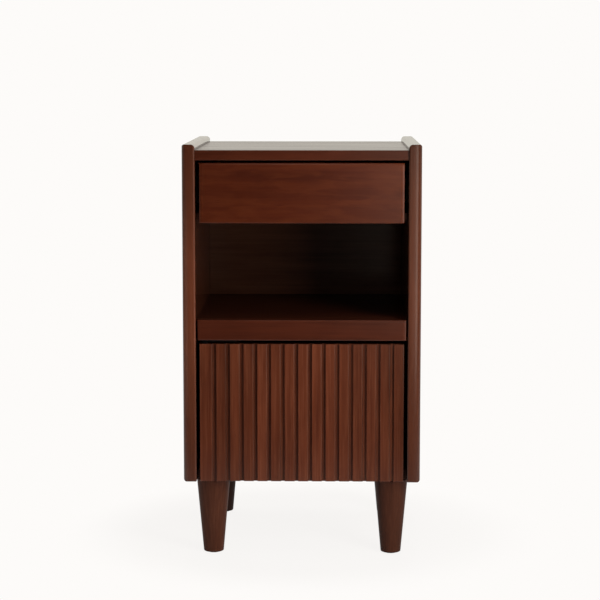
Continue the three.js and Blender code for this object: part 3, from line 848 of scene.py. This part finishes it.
for corner, tone_and_painted_light in leg_painted_shade.items():
    node = f"leg_{corner}"
    low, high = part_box(node)
    centre = (low + high) / 2
    leg_top_radius = (high.x - low.x) / 2
    glide_low, glide_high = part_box(f"glide_{corner}")
    bolt_low, bolt_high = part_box(f"hanger_bolt_{corner}")
    recess = (glide_high.x - glide_low.x) / 2 + fit
    recess_top = glide_high.z + fit
    bore = (bolt_high.x - bolt_low.x) / 2 + bore_play
    profile = [(0, recess_top), (recess, recess_top), (recess, low.z)]
    for number in range(foot_steps + 1):
        turn = math.pi / 2 * number / foot_steps
        radius = leg_foot_radius - foot_round * (1 - math.sin(turn))
        profile.append((radius, low.z + foot_round * (1 - math.cos(turn))))
    profile.append((leg_top_radius, high.z - top_chamfer))
    profile.append((leg_top_radius - top_chamfer, high.z))
    profile += [(bore, high.z), (bore, bolt_low.z - fit), (0, bolt_low.z - fit)]
    mesh = cut_from(turned(node, profile, centre), tone_and_painted_light, 0)
    smoothed(placed(f"{node}_turned", mesh, "cabinet", leg_wood, node))


# Boards inside
# The dust panel, shelf, bottom and back are stained, but have only a thin coat of lacquer. The
# door panel is finished like its strips, and the drawer box is paler wood, only sealed.
def refinish(names, finish):
    """Gives CAD nodes that keep their shape their finish."""
    for name in names:
        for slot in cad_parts[name].material_slots:
            slot.material = finish


# Painted shade: these boards are a darker copy of the stained wood, for the shade inside the
# cabinet
inside_wood_painted_shade = stained_wood(
    "stained_wood_inside_painted_shade",
    "x",
    screen(46, 20, 11),
    screen(58, 26, 15),
    screen(68, 33, 20),
    straight=0.2,
    dull=0.5,
    lacquer=0.3,
)
refinish(["dust_panel", "shelf_panel", "bottom_panel"], inside_wood_painted_shade)
# Painted light and shade: the back is paler than the other boards inside, and painted darker
# towards its left end and paler towards its right
back_wood_painted_light_and_shade = stained_wood(
    "stained_wood_back_painted_light_and_shade",
    "x",
    screen(64, 36, 24),
    screen(78, 47, 33),
    screen(90, 57, 41),
    straight=0.2,
    dull=0.5,
    lacquer=0.3,
    painted_light_drift=1.9,
)
refinish(["back_panel"], back_wood_painted_light_and_shade)
refinish(["door_panel"], strip_wood)
box_colours = (screen(86, 52, 34), screen(112, 74, 50), screen(132, 92, 64))
box_wood = stained_wood("drawer_box_wood", "y", *box_colours, dull=0.5)
refinish([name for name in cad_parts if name.startswith("drawer_side")], box_wood)
cross_box_wood = stained_wood("drawer_cross_wood", "x", *box_colours, dull=0.5)
refinish(["drawer_inner_front", "drawer_back", "drawer_bottom"], cross_box_wood)


# Metal, nylon and rubber
# The runners and the plates on the legs are darkened steel, the hinge plates black. Bolts and
# the latch's strike are zinc-plated. Bushes, glides and the latch are moulded nylon, and the
# door closes on a rubber bumper.
cloud_scale = 180
cloud_dulls = 0.16
grit_scale = 1400
grit_strength = 0.12
grit_depth = 0.2 * mm


def plain_finish(name, colour, second, metal, roughness, shine=0.5):
    """Metal, nylon or rubber, clouded between two near colours and slightly gritty."""
    made = Finish(bpy.data.materials.new(name))
    spot = made.node("ShaderNodeTexCoord", output="Object")
    sockets = {"Vector": spot, "Scale": cloud_scale, "Detail": 4}
    cloud = made.node("ShaderNodeTexNoise", None, sockets)
    sockets = {"Vector": spot, "Scale": grit_scale, "Detail": 2}
    grit = made.node("ShaderNodeTexNoise", None, sockets)
    mixed = made.mix(cloud.step(0.35, 0.7), colour, second)
    sockets = {"Strength": grit_strength, "Distance": grit_depth, "Height": grit}
    relief = made.node("ShaderNodeBump", None, sockets)
    surface = made.node(
        "ShaderNodeBsdfPrincipled",
        None,
        {
            "Base Color": mixed,
            "Metallic": metal,
            "Roughness": roughness + cloud_dulls * cloud,
            "Specular IOR Level": shine,
            "Normal": relief,
        },
    )
    made.node("ShaderNodeOutputMaterial", None, {"Surface": surface})
    return made.owner


zinc = plain_finish("zinc_steel", screen(176, 178, 180), screen(150, 152, 152), 1, 0.22)
dark_steel = plain_finish("dark_steel", screen(26, 24, 23), screen(18, 17, 16), 0.1, 0.5, 0.25)
hinge_steel = plain_finish("hinge_steel", screen(14, 12, 11), screen(9, 8, 8), 0, 0.6, 0.05)
black_nylon = plain_finish("black_nylon", screen(22, 21, 20), screen(28, 27, 26), 0, 0.6)
hinge_nylon = plain_finish("hinge_nylon", screen(13, 12, 12), screen(9, 8, 8), 0, 0.7, 0.05)
rubber = plain_finish("rubber", screen(42, 39, 36), screen(50, 47, 44), 0, 0.7)
fittings = {
    "runner_": dark_steel,
    "leg_plate_": dark_steel,
    "hanger_bolt_": zinc,
    "glide_": black_nylon,
    "hinge_plate": hinge_steel,
    "hinge_bush": hinge_nylon,
    "latch_body": black_nylon,
    "latch_plunger": black_nylon,
    "latch_strike": zinc,
    "door_bumper": rubber,
}
for start, finish in fittings.items():
    refinish([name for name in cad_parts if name.startswith(start)], finish)

# Wood screws
# Zinc-plated steel, with low round heads and a cross recess. They hold the back panel, the
# runners, the hinge plates and the drawer front.
screw_sides = 32
recess_share = 0.62
recess_half = 0.35 * mm
dome_steps = 6
screws_turned = random.Random(31)


def screw_head(radius, height, shank):
    """A screw's head and the start of its shank, its seat at the origin and its head up."""
    rim = height / 4
    profile = [(0, -shank), (radius / 2, -shank), (radius / 2, 0), (radius, 0), (radius, rim)]
    for number in range(1, dome_steps + 1):
        turn = math.pi / 2 * number / dome_steps
        across = radius * math.cos(turn) if number < dome_steps else 0
        profile.append((across, rim + (height - rim) * math.sin(turn)))
    mesh = turned("screw", profile, Vector((0, 0, 0)), screw_sides)
    long = radius * recess_share
    arms = [(recess_half, long), (long, recess_half)]
    return shaped(mesh, [plain_block((-x, -y, rim), (x, y, 2 * height)) for x, y in arms])


def screws(name, body, head, places, toward):
    """Drives a copy of the head into each place, facing toward a direction."""
    for number, place in enumerate(places, 1):
        mesh = head.copy()
        face = Vector(toward).to_track_quat("Z", "Y").to_matrix().to_4x4()
        roll = Matrix.Rotation(screws_turned.uniform(0, math.pi), 4, "Z")
        mesh.transform(Matrix.Translation(Vector(place)) @ face @ roll)
        smoothed(placed(f"{name}_{number}", mesh, body, zinc), crease=40)


flush_height = 0.9 * mm
panel_head = screw_head(3.8 * mm, 1.8 * mm, 1.5 * mm)
low_head = screw_head(3.4 * mm, 1.1 * mm, 1.5 * mm)
rail_head = screw_head(3.6 * mm, 1.7 * mm, 1.2 * mm)
flush_head = screw_head(2.1 * mm, flush_height, 0.2 * mm)

# Millimetres from the middle of each board that the back is screwed to
back_rows = {
    "bottom_panel": (-140, -70, 0, 70, 140),
    "shelf_panel": (-100, 0, 100),
    "dust_panel": (-100, 0, 100),
}
for node, across in back_rows.items():
    low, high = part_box(node)
    places = [(x * mm, back_high.y, (low.z + high.z) / 2) for x in across]
    screws(f"back_screw_{node.split('_')[0]}", "cabinet", panel_head, places, (0, 1, 0))

plate_hole_pitch = 14 * mm
plate_hole_end = 5 * mm
head_seat = 2 * mm
low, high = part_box("hinge_plate_upper")
pin_line = (low.y + high.y) / 2
across = [high.x - plate_hole_end - step * plate_hole_pitch for step in (0, 1)]
places = [(x, pin_line, high.z - head_seat) for x in across]
screws("hinge_screw_upper", "cabinet", low_head, places, (0, 0, -1))
low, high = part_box("hinge_plate_lower")
pin_line = (low.x + high.x) / 2
places = [(pin_line, high.y - plate_hole_end - step * plate_hole_pitch, low.z) for step in (0, 1)]
screws("hinge_screw_lower", "cabinet", low_head, places, (0, 0, -1))

rail_gauge = 1.2 * mm
hole_shares = (0.08, 0.5, 0.92)
for side, sign in (("left", -1), ("right", 1)):
    low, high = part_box(f"runner_cabinet_rail_{side}")
    level = (low.z + high.z) / 2
    run = [low.y + share * (high.y - low.y) for share in hole_shares]
    wall = max(abs(low.x), abs(high.x)) - rail_gauge
    places = [(sign * (wall + flush_height), y, level) for y in run]
    screws(f"rail_screw_{side}", "cabinet", flush_head, places, (-sign, 0, 0))
    low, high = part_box(f"runner_drawer_rail_{side}")
    web = min(abs(low.x), abs(high.x)) + rail_gauge
    places = [(sign * web, y, level) for y in run]
    screws(f"drawer_rail_screw_{side}", "drawer", rail_head, places, (sign, 0, 0))

inner_low, inner_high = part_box("drawer_inner_front")
front_screw_reach = 112 * mm
front_screw_rise = 15 * mm
front_screw_lift = 7 * mm
middle = (inner_low.z + inner_high.z) / 2 + front_screw_lift
corners = [(x, z) for x in (-1, 1) for z in (-1, 1)]
places = [
    (x * front_screw_reach, inner_high.y, middle + z * front_screw_rise) for x, z in corners
]
screws("drawer_front_screw", "drawer", panel_head, places, (0, 1, 0))

# Runner middle members
# Cold-rolled steel channels that slide between the cabinet and drawer rails. Nylon cages above
# and below each flange hold steel balls.
bend_outer = 2 * mm
bend_inner = 0.8 * mm
bend_steps = 6
middle_depth = 9.2 * mm
middle_half = 18.1 * mm
middle_start = 1.6 * mm
cage_near = 4.2 * mm
cage_wide = 5 * mm
cage_thick = 1 * mm
ball = 1.6 * mm
ball_pitch = 12 * mm
ball_inset = 8 * mm
runner_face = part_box("runner_cabinet_rail_right")[1].x


def arc(centre, radius, start, end):
    """Points of a quarter bend, from one angle in degrees to another."""
    points = []
    for number in range(bend_steps + 1):
        turn = math.radians(start + (end - start) * number / bend_steps)
        points.append((centre[0] + radius * math.cos(turn), centre[1] + radius * math.sin(turn)))
    return points


def extruded(name, outlines, run):
    """Closed outlines of (x, z) points drawn along Y."""
    shape = bmesh.new()
    for outline in outlines:
        ends = [[shape.verts.new((x, y, z)) for x, z in outline] for y in run]
        for number in range(len(outline)):
            after = (number + 1) % len(outline)
            shape.faces.new((ends[0][number], ends[0][after], ends[1][after], ends[1][number]))
        shape.faces.new(list(reversed(ends[0])))
        shape.faces.new(ends[1])
    bmesh.ops.recalc_face_normals(shape, faces=shape.faces)
    mesh = bpy.data.meshes.new(name)
    shape.to_mesh(mesh)
    shape.free()
    return mesh


polished = plain_finish("ball_steel", screen(190, 192, 194), screen(176, 178, 180), 1, 0.08)
for side, sign in (("left", -1), ("right", 1)):
    node = f"runner_middle_{side}"
    body = f"{side}_middle_member"
    low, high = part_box(node)
    level = (low.z + high.z) / 2
    near, far = middle_start, middle_start + middle_depth
    half, inner = middle_half, middle_half - rail_gauge
    outline = [(far, -half)]
    outline += arc((near + bend_outer, bend_outer - half), bend_outer, -90, -180)
    outline += arc((near + bend_outer, half - bend_outer), bend_outer, 180, 90)
    outline += [(far, half), (far, inner)]
    outline += arc((near + rail_gauge + bend_inner, inner - bend_inner), bend_inner, 90, 180)
    outline += arc((near + rail_gauge + bend_inner, bend_inner - inner), bend_inner, 180, 270)
    outline.append((far, -inner))
    outline = [(sign * (runner_face - depth), level + rise) for depth, rise in outline]
    mesh = extruded(node, [outline], (low.y, high.y))
    smoothed(placed(f"{node}_channel", mesh, body, dark_steel, node))

    rows = [up * row for up in (-1, 1) for row in (half + ball, inner - ball)]
    x = [sign * (runner_face - depth) for depth in (cage_near, cage_near + cage_wide)]
    cages = []
    for row in rows:
        z = [level + row + end * cage_thick / 2 for end in (-1, 1)]
        cages.append([(x[0], z[0]), (x[1], z[0]), (x[1], z[1]), (x[0], z[1])])
    mesh = extruded(f"{node}_cages", cages, (low.y + ball_inset / 2, high.y - ball_inset / 2))
    smoothed(placed(f"{node}_cages", mesh, body, black_nylon))

    shape = bmesh.new()
    depth = runner_face - cage_near - cage_wide / 2
    count = int((high.y - low.y - 2 * ball_inset) / ball_pitch)
    for row in rows:
        for number in range(count + 1):
            spot = Vector((sign * depth, low.y + ball_inset + number * ball_pitch, level + row))
            bmesh.ops.create_icosphere(
                shape, subdivisions=2, radius=ball - fit / 4, matrix=Matrix.Translation(spot)
            )
    mesh = bpy.data.meshes.new(f"{node}_balls")
    shape.to_mesh(mesh)
    shape.free()
    smoothed(placed(f"{node}_balls", mesh, body, polished), crease=60)
